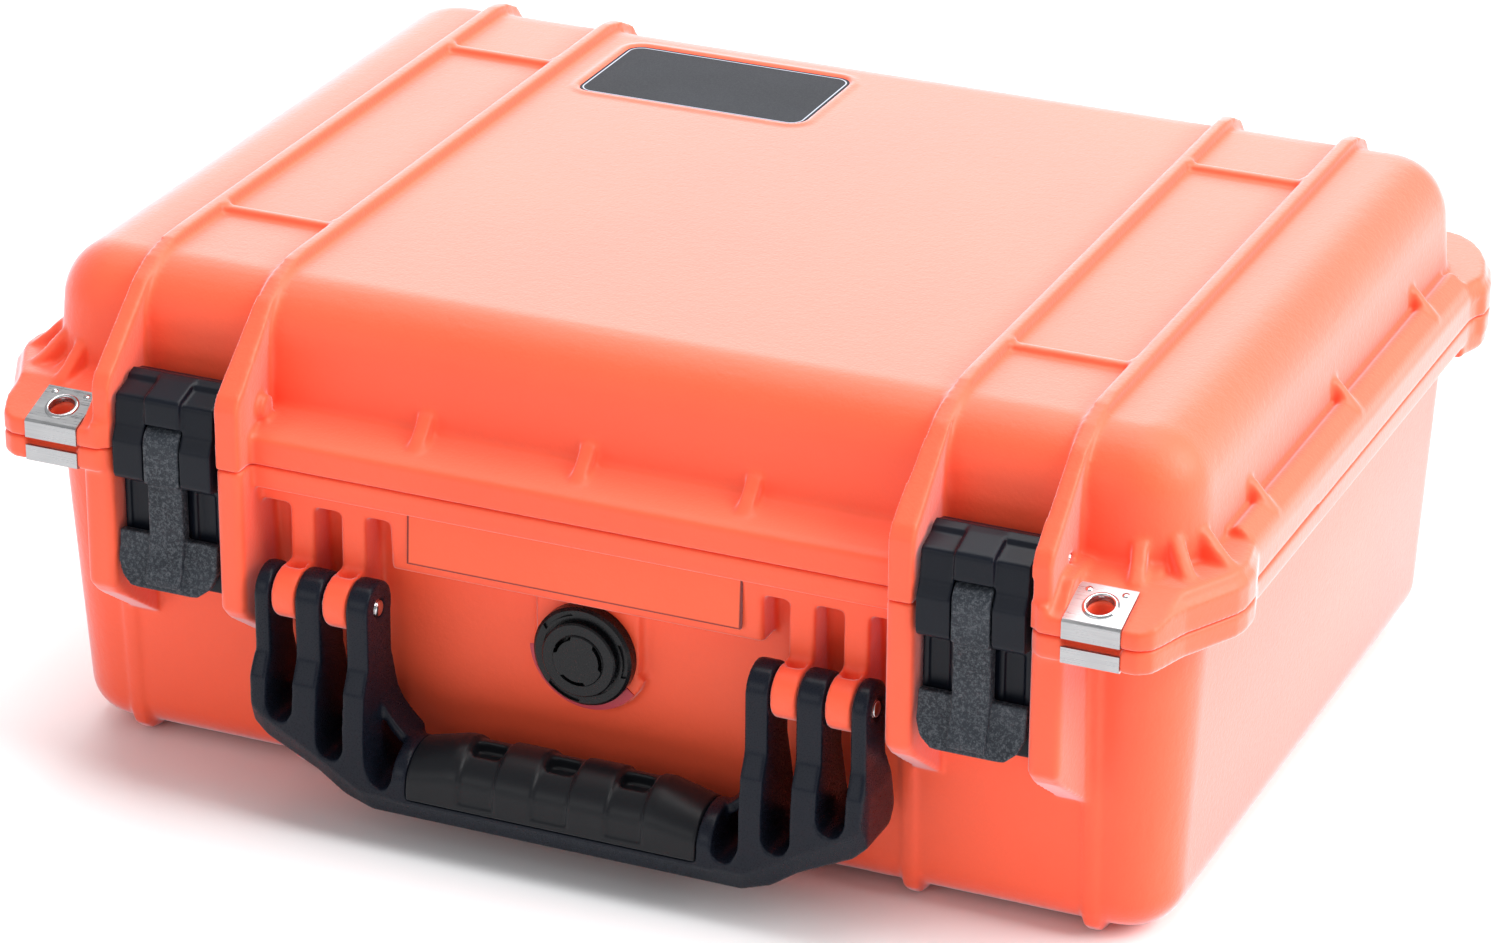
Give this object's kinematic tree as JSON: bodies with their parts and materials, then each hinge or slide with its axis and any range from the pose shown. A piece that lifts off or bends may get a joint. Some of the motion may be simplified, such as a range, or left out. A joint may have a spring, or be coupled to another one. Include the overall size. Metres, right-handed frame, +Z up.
{
  "type": "hard equipment case",
  "caption": "Rigid moulded equipment case with hinged lid, draw latches, folding grip handle, pressure valve, padlock eyelets and sealing ring.",
  "frame": {"origin": "on the ground under the middle of the closed case", "axes": "+X to the right as seen from the handle side and along the longest side, +Y from the handle side to the hinge side, +Z up"},
  "size_m": [0.4064, 0.33, 0.168],
  "materials": {
    "shell_orange": "moulded polypropylene copolymer, fine spark-eroded grain, satin",
    "insert_orange": "moulded plastic, finer grain than the shell",
    "handle_black": "moulded glass-filled nylon, satin black",
    "grip_rubber": "soft overmoulded rubber, matt with slight sheen",
    "latch_black": "moulded plastic, satin black",
    "lever_black": "moulded plastic with coarse speckled grain",
    "valve_black": "moulded plastic, satin black",
    "membrane_white": "thin sintered vent membrane",
    "seal_rubber": "neoprene sealing ring",
    "steel_plate": "brushed stainless with polished rims",
    "steel_pin": "ground stainless pin",
    "label_grey": "satin printed plate, dark blue grey",
    "ring_label_red": "printed ring label, dark red"
  },
  "bodies": {
    "base": {"base_shell": "shell_orange", "nameplate_insert": "insert_orange", "valve_body": "valve_black", "valve_cap": "valve_black", "valve_membrane": "membrane_white", "valve_seal": "seal_rubber", "valve_nut": "valve_black", "valve_label": "ring_label_red", "padlock_plate_base_left": "steel_plate", "padlock_plate_base_right": "steel_plate", "hinge_pin_left": "steel_pin", "hinge_pin_right": "steel_pin"},
    "lid": {"lid_shell": "shell_orange", "lid_seal": "seal_rubber", "lid_label": "label_grey", "padlock_plate_lid_left": "steel_plate", "padlock_plate_lid_right": "steel_plate", "latch_pin_left": "steel_pin", "latch_pin_right": "steel_pin"},
    "handle": {"handle_frame": "handle_black", "handle_grip": "grip_rubber", "handle_pin_left": "steel_pin", "handle_pin_right": "steel_pin"},
    "latch_left": {"latch_body_left": "latch_black", "lever_pin_left": "steel_pin"},
    "latch_right": {"latch_body_right": "latch_black", "lever_pin_right": "steel_pin"},
    "lever_left": {"latch_lever_left": "lever_black"},
    "lever_right": {"latch_lever_right": "lever_black"}
  },
  "joints": [
    {"name": "lid_hinge", "type": "hinge", "parent": "base", "child": "lid", "pos_m": [0, 0.1572, 0.1148], "axis": [-1, 0, 0], "range_deg": [0, 100]},
    {"name": "handle_swing", "type": "hinge", "parent": "base", "child": "handle", "pos_m": [0, -0.1518, 0.0756], "axis": [-1, 0, 0], "range_deg": [0, 95]},
    {"name": "latch_left_swing", "type": "hinge", "parent": "lid", "child": "latch_left", "pos_m": [-0.1323, -0.1412, 0.1306], "axis": [-1, 0, 0], "range_deg": [0, 100]},
    {"name": "latch_right_swing", "type": "hinge", "parent": "lid", "child": "latch_right", "pos_m": [0.1323, -0.1412, 0.1306], "axis": [-1, 0, 0], "range_deg": [0, 100]},
    {"name": "lever_left_pull", "type": "hinge", "parent": "latch_left", "child": "lever_left", "pos_m": [-0.1324, -0.154, 0.119], "axis": [-1, 0, 0], "range_deg": [0, 75]},
    {"name": "lever_right_pull", "type": "hinge", "parent": "latch_right", "child": "lever_right", "pos_m": [0.1324, -0.154, 0.119], "axis": [-1, 0, 0], "range_deg": [0, 75]}
  ]
}
